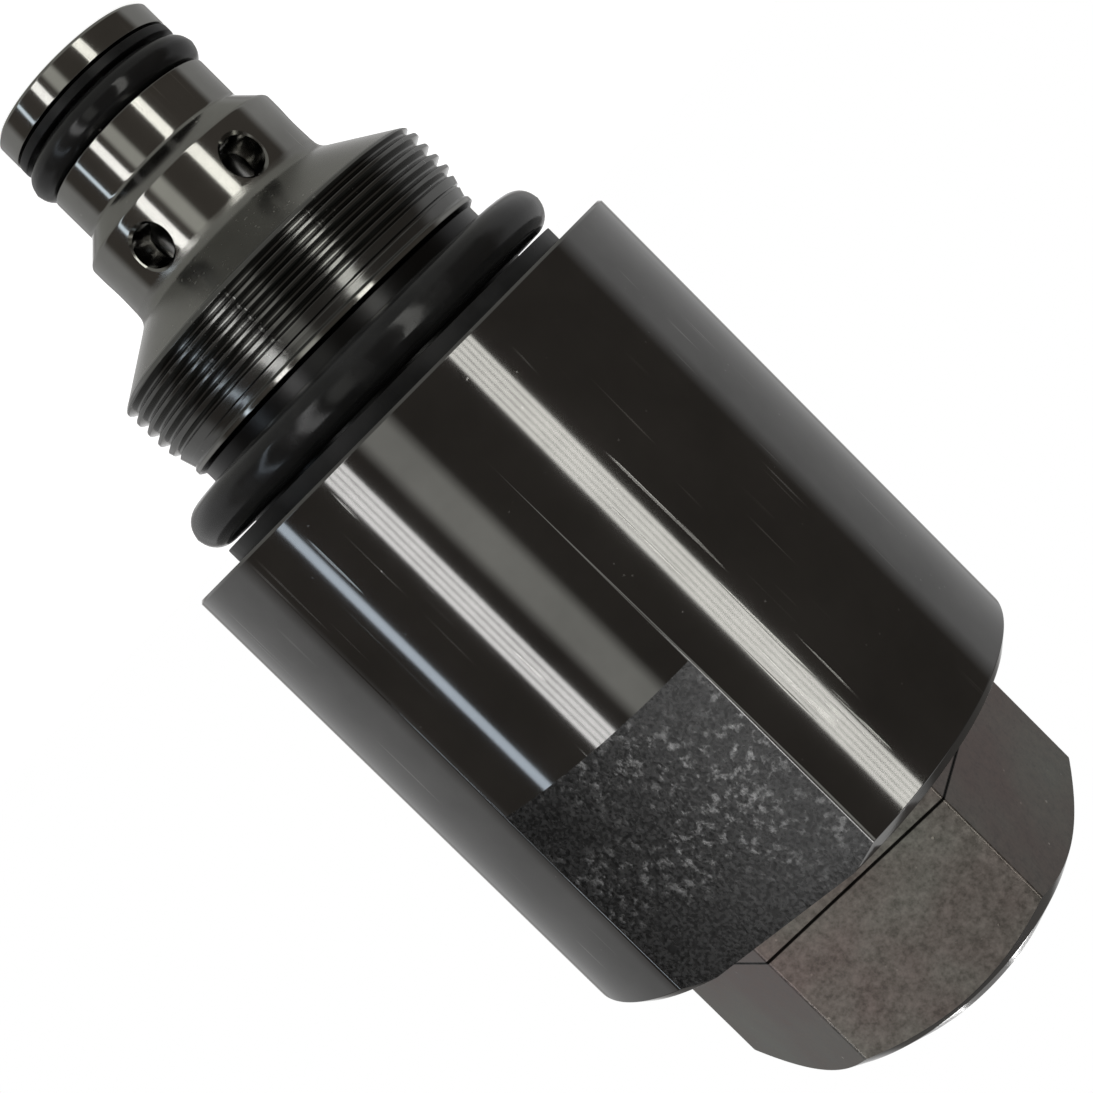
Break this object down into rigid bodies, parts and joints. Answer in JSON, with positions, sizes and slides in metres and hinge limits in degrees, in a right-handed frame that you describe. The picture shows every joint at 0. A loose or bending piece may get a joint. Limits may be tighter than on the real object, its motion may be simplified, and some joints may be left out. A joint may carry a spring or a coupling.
{
  "type": "hydraulic cartridge valve",
  "caption": "Screw-in hydraulic relief cartridge with a ported steel nose, a threaded flare, a round barrel with wrench flats and a hexagonal cap over its adjuster.",
  "frame": {"origin": "centre of the barrel's seating face, on the valve's axis", "axes": "+Z along the valve's axis from the nose towards the hexagonal cap; the two wrench flats face +Y and -Y"},
  "size_m": [0.0396, 0.0396, 0.0878],
  "materials": {
    "bright_steel": "turned and polished",
    "dark_steel": "ground, dark plated and polished",
    "cap_steel": "grainy dark plating",
    "hard_steel": "hardened and ground",
    "spring_steel": "drawn wire",
    "brass": "turned",
    "soft_aluminium": "stamped",
    "seal_rubber": "smooth, lightly oiled",
    "backup_plastic": "moulded"
  },
  "bodies": {
    "housing": {"valve_cage": "bright_steel", "nose_o_ring": "seal_rubber", "nose_backup_ring": "backup_plastic", "shoulder_o_ring": "seal_rubber", "shoulder_backup_ring": "backup_plastic", "cage_o_ring": "seal_rubber", "seat_ring": "hard_steel", "main_spring": "spring_steel", "pilot_seat": "hard_steel", "pilot_seat_o_ring": "seal_rubber", "retaining_ring": "spring_steel", "pilot_spring": "spring_steel", "barrel": "dark_steel", "end_plug": "cap_steel", "end_plug_o_ring": "seal_rubber"},
    "main_stage": {"main_poppet": "hard_steel", "orifice_screw": "brass", "orifice_screen": "hard_steel"},
    "pilot_stage": {"pilot_poppet": "hard_steel"},
    "spring_seat": {"spring_button": "hard_steel", "spring_shim": "hard_steel"},
    "adjuster": {"adjusting_screw": "hard_steel", "adjuster_o_ring": "seal_rubber", "adjuster_backup_ring": "backup_plastic"},
    "lock_washer": {"lock_washer": "soft_aluminium"},
    "lock_nut": {"lock_nut": "hard_steel"},
    "cap_seal": {"cap_seal": "soft_aluminium"},
    "cap": {"cap_nut": "cap_steel"}
  },
  "joints": [
    {"name": "main_poppet_lift", "type": "slide", "parent": "housing", "child": "main_stage", "axis": [0, 0, 1], "range_m": [0, 0.002], "stiffness_N_per_m": 1500, "springref_m": -0.004, "deforming": ["main_spring"]},
    {"name": "pilot_poppet_lift", "type": "slide", "parent": "housing", "child": "pilot_stage", "axis": [0, 0, 1], "range_m": [0, 0.0008], "stiffness_N_per_m": 20000, "springref_m": -0.003, "deforming": ["pilot_spring"]},
    {"name": "adjuster_travel", "type": "slide", "parent": "housing", "child": "spring_seat", "axis": [0, 0, 1], "range_m": [-0.002, 0.002], "deforming": ["pilot_spring"]},
    {"name": "adjuster_turn", "type": "hinge", "parent": "spring_seat", "child": "adjuster", "pos_m": [0, 0, 0.04], "axis": [0, 0, 1], "range_deg": [-720, 720]},
    {"name": "lock_nut_travel", "type": "slide", "parent": "housing", "child": "lock_washer", "axis": [0, 0, 1], "range_m": [0, 0.001]},
    {"name": "lock_nut_turn", "type": "hinge", "parent": "lock_washer", "child": "lock_nut", "pos_m": [0, 0, 0.049], "axis": [0, 0, 1], "range_deg": [0, 360]},
    {"name": "cap_travel", "type": "slide", "parent": "housing", "child": "cap_seal", "axis": [0, 0, 1], "range_m": [0, 0.00375]},
    {"name": "cap_turn", "type": "hinge", "parent": "cap_seal", "child": "cap", "pos_m": [0, 0, 0.049], "axis": [0, 0, 1], "range_deg": [0, 900]}
  ],
  "couplings": [
    {"joint": "adjuster_travel", "follows": "adjuster_turn", "m_per_rad": 0.00015915},
    {"joint": "lock_nut_travel", "follows": "lock_nut_turn", "m_per_rad": 0.00015915},
    {"joint": "cap_travel", "follows": "cap_turn", "m_per_rad": 0.00023873}
  ]
}
